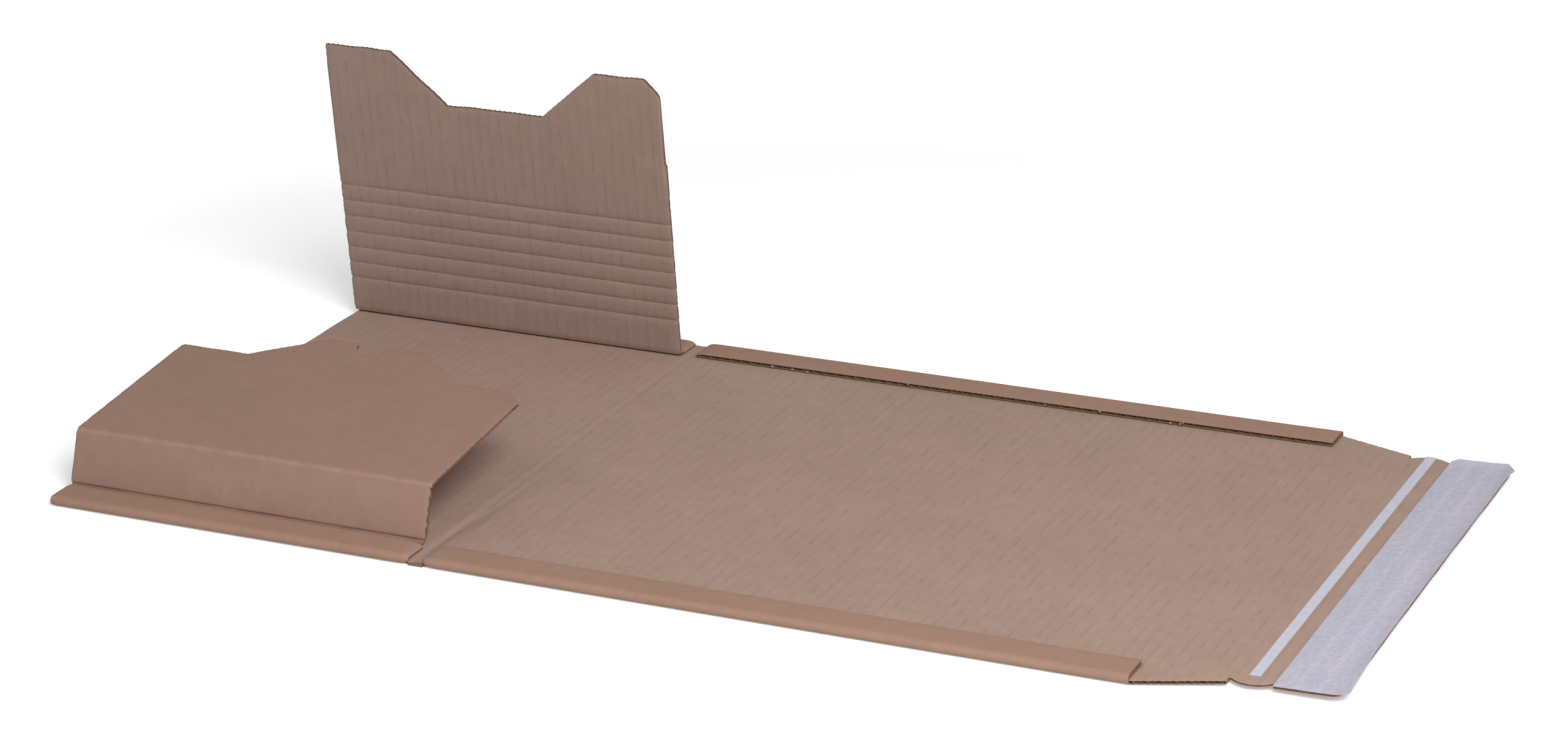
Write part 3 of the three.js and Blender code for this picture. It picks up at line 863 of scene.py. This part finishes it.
def make_closure():
    tape_start = TAPER_END + TAPE_OFFSET
    across = np.linspace(tape_start, tape_start + TAPE_WIDTH, 8)
    none = 0 * across
    rear_end = TRAY_DEPTH - TAPER_END_INSET
    tape = flat_sheet("tear_tape_film", across, none + TAPER_END_INSET + TAPE_FRONT_GAP,
                      none + rear_end - TAPE_REAR_GAP, PLY, TAPE_THICKNESS, TAPE,
                      lift=lambda u, v: 0.4 * np.clip((v - rear_end + 6) / 6, 0, 1) ** 2)
    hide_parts("tear_tape")
    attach(tape, "wrap")

    across = np.linspace(FLAP_START + 1.5, SHEET_END - 1.5, 20)
    none = 0 * across
    inset = END_FLAP_INSET + END_CORNER / 2
    glue = flat_sheet("glue_film", across, none + inset, none + TRAY_DEPTH - inset, PLY, GLUE_THICKNESS,
                      GLUE)
    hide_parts("adhesive_strip")
    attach(glue, "wrap")

    right = SHEET_END + LINER_OVERHANG
    across = np.concatenate([
        np.linspace(FLAP_START, right - END_CORNER, 44)[:-1],
        right - END_CORNER * (1 - np.sin(np.linspace(0, math.pi / 2, 10)))])
    corner = np.clip(across - (right - END_CORNER), 0, END_CORNER)
    rounding = END_CORNER - np.sqrt(np.clip(END_CORNER ** 2 - corner ** 2, 0, None))
    edge = END_FLAP_INSET - LINER_OVERHANG + rounding
    cut_corner = np.clip(FLAP_START + 3.5 - across, 0, None)
    bent_corner = 7 * np.clip((across - right + 5) / 5, 0, 1)
    rear = TRAY_DEPTH - END_FLAP_INSET + LINER_OVERHANG - cut_corner - bent_corner
    liner = flat_sheet("release_liner_sheet", across, edge, rear, PLY + LINER_HEIGHT, LINER_THICKNESS,
                       LINER, lift=liner_lift, shift=liner_shift)
    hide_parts("release_liner")
    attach(liner, "wrap")


def liner_corner(across, along):
    """How close a place is to the liner's bent rear corner, from 0 to 1."""
    near = (across - SHEET_END) + (along - (TRAY_DEPTH - END_FLAP_INSET))
    return np.clip((near + 13) / 13, 0, 1)


def liner_lift(across, along):
    """Soft waves along the liner, its raised rear edge and its bent rear corner."""
    waves = 0.1 + 0.1 * wave_noise(across * 0.35, along * 0.08, 1.0, 51)
    rear = np.clip((along - (TRAY_DEPTH - END_FLAP_INSET - 7)) / 7, 0, 1) ** 2
    return waves + 0.8 * rear + 0.8 * liner_corner(across, along) ** 2


def liner_shift(across, along):
    """The liner's corners reach a little past the end of the board."""
    front = np.clip((80 - along) / 60, 0, 1) ** 1.5
    near_end = np.clip((across - SHEET_END + 10) / 10, 0, 1)
    return (3.0 * liner_corner(across, along) ** 1.5 + 2.4 * front) * near_end


def row_point(across, y, z):
    """A place in the row frame, in metres, from millimetres along and across the blank."""
    return ((across - TOTAL / 2) / 1000, (y - TRAY_DEPTH / 2) / 1000, z / 1000)


def path_point(path, along, through):
    """The row point in the middle of the tray's length, at a distance along a path and into its sheet."""
    y, z, inward_y, inward_z = (float(v[0]) for v in path.at(np.array([along])))
    return row_point(MIDDLE, y + through * inward_y, z + through * inward_z)


def blend_round(piece, pivot):
    """The piece's place is baked into its mesh; it is not bent about the crease.
    The pivot is not used."""
    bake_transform(piece)


# The pieces, then the flaps' and the wrap's places baked into their meshes
make_tray()
front, front_wall, front_top = make_front_flap()
rear, rear_wall, rear_top = make_rear_flap()
wrap_board = make_wrap()
make_closure()

blend_round(front_wall, row_point(MIDDLE, STRIP_WIDTH, STRIP_TOP))
fold_middle = (front.wall_end + front.fold_end) / 2
blend_round(front_top, path_point(front, fold_middle, 0))
blend_round(rear_wall, row_point(MIDDLE, TRAY_DEPTH - STRIP_WIDTH, STRIP_TOP))
blend_round(rear_top, path_point(rear, rear.base + REAR_WALL, PLY))
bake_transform(wrap_board)

# Camera, fitted to the photograph's view
AZIMUTH, ELEVATION, ROLL = math.radians(24.237), math.radians(20.185), math.radians(-0.787)
LENS, SENSOR = 96.35, 36
CAMERA_PLACE = (0.8507, -1.8972, 0.8306)
right = Vector((math.cos(AZIMUTH), math.sin(AZIMUTH), 0))
forward = Vector((-math.sin(AZIMUTH) * math.cos(ELEVATION), math.cos(AZIMUTH) * math.cos(ELEVATION),
                  -math.sin(ELEVATION)))
up = right.cross(forward)
rolled_right = right * math.cos(ROLL) + up * math.sin(ROLL)
rolled_up = up * math.cos(ROLL) - right * math.sin(ROLL)
camera_data = bpy.data.cameras.new("camera")
camera_data.sensor_width = SENSOR
camera_data.lens = LENS
camera_data.clip_start = 0.05
camera_data.clip_end = 50
camera = bpy.data.objects.new("camera", camera_data)
bpy.context.scene.collection.objects.link(camera)
turned = Matrix((rolled_right, rolled_up, -forward)).transposed().to_4x4()
camera.matrix_world = Matrix.Translation(CAMERA_PLACE) @ turned
bpy.context.scene.camera = camera

# Studio
WORLD_LIGHT = 0.36
FLOOR_REACH, FLOOR_DROP, FLOOR_SHADE = 6, 0.0002, 0.93
FLOOR_GLOW = 0.34  # near the object, for the camera alone, so that the floor is white and keeps the shadow
GLOW_SLOPE, GLOW_START = 0.9, -0.2  # further out the glow grows with the distance in metres


def area_light(name, place_at, aim, size, power):
    data = bpy.data.lights.new(name, "AREA")
    data.energy = power
    data.shape = "DISK"
    data.size = size
    lamp = bpy.data.objects.new(name, data)
    bpy.context.scene.collection.objects.link(lamp)
    lamp.location = place_at
    lamp.rotation_euler = (Vector(aim) - Vector(place_at)).to_track_quat("-Z", "Y").to_euler()


area_light("key", (0.95, -1.05, 1.3), (0, 0, 0), 1.1, 33)
area_light("fill", (-1.6, -0.9, 1.8), (-0.1, 0, 0), 1.6, 3)

world = bpy.data.worlds.new("world")
tree = Tree(world)
background = tree.nodes["Background"]
background.inputs["Color"].default_value = (1, 1, 1, 1)
white = tree.math("MULTIPLY_ADD", tree.camera_rays(), 1 - WORLD_LIGHT, WORLD_LIGHT)
tree.links.new(white, background.inputs["Strength"])
bpy.context.scene.world = world

floor_mesh = bpy.data.meshes.new("floor")
corners = [(x * FLOOR_REACH, y * FLOOR_REACH, -FLOOR_DROP) for x, y in ((-1, -1), (1, -1), (1, 1), (-1, 1))]
floor_mesh.from_pydata(corners, [], [(0, 1, 2, 3)])
floor = bpy.data.objects.new("floor", floor_mesh)
bpy.context.scene.collection.objects.link(floor)
floor_material = bpy.data.materials.new("floor_white")
tree = Tree(floor_material)
shader = tree.nodes["Principled BSDF"]
shader.inputs["Roughness"].default_value = 0.9
shader.inputs["Base Color"].default_value = (FLOOR_SHADE, FLOOR_SHADE, FLOOR_SHADE, 1)
shader.inputs["Specular IOR Level"].default_value = 0.0
shader.inputs["Emission Color"].default_value = (1, 1, 1, 1)
away = tree.add("ShaderNodeVectorMath", operation="LENGTH")
tree.links.new(tree.add("ShaderNodeNewGeometry").outputs["Position"], away.inputs[0])
glow = tree.math("MULTIPLY_ADD", away.outputs["Value"], GLOW_SLOPE, GLOW_START, clamp=True)
glow = tree.math("MAXIMUM", glow, FLOOR_GLOW)
tree.links.new(tree.math("MULTIPLY", glow, tree.camera_rays()), shader.inputs["Emission Strength"])
floor_mesh.materials.append(floor_material)

bpy.context.scene.view_settings.view_transform = "Standard"
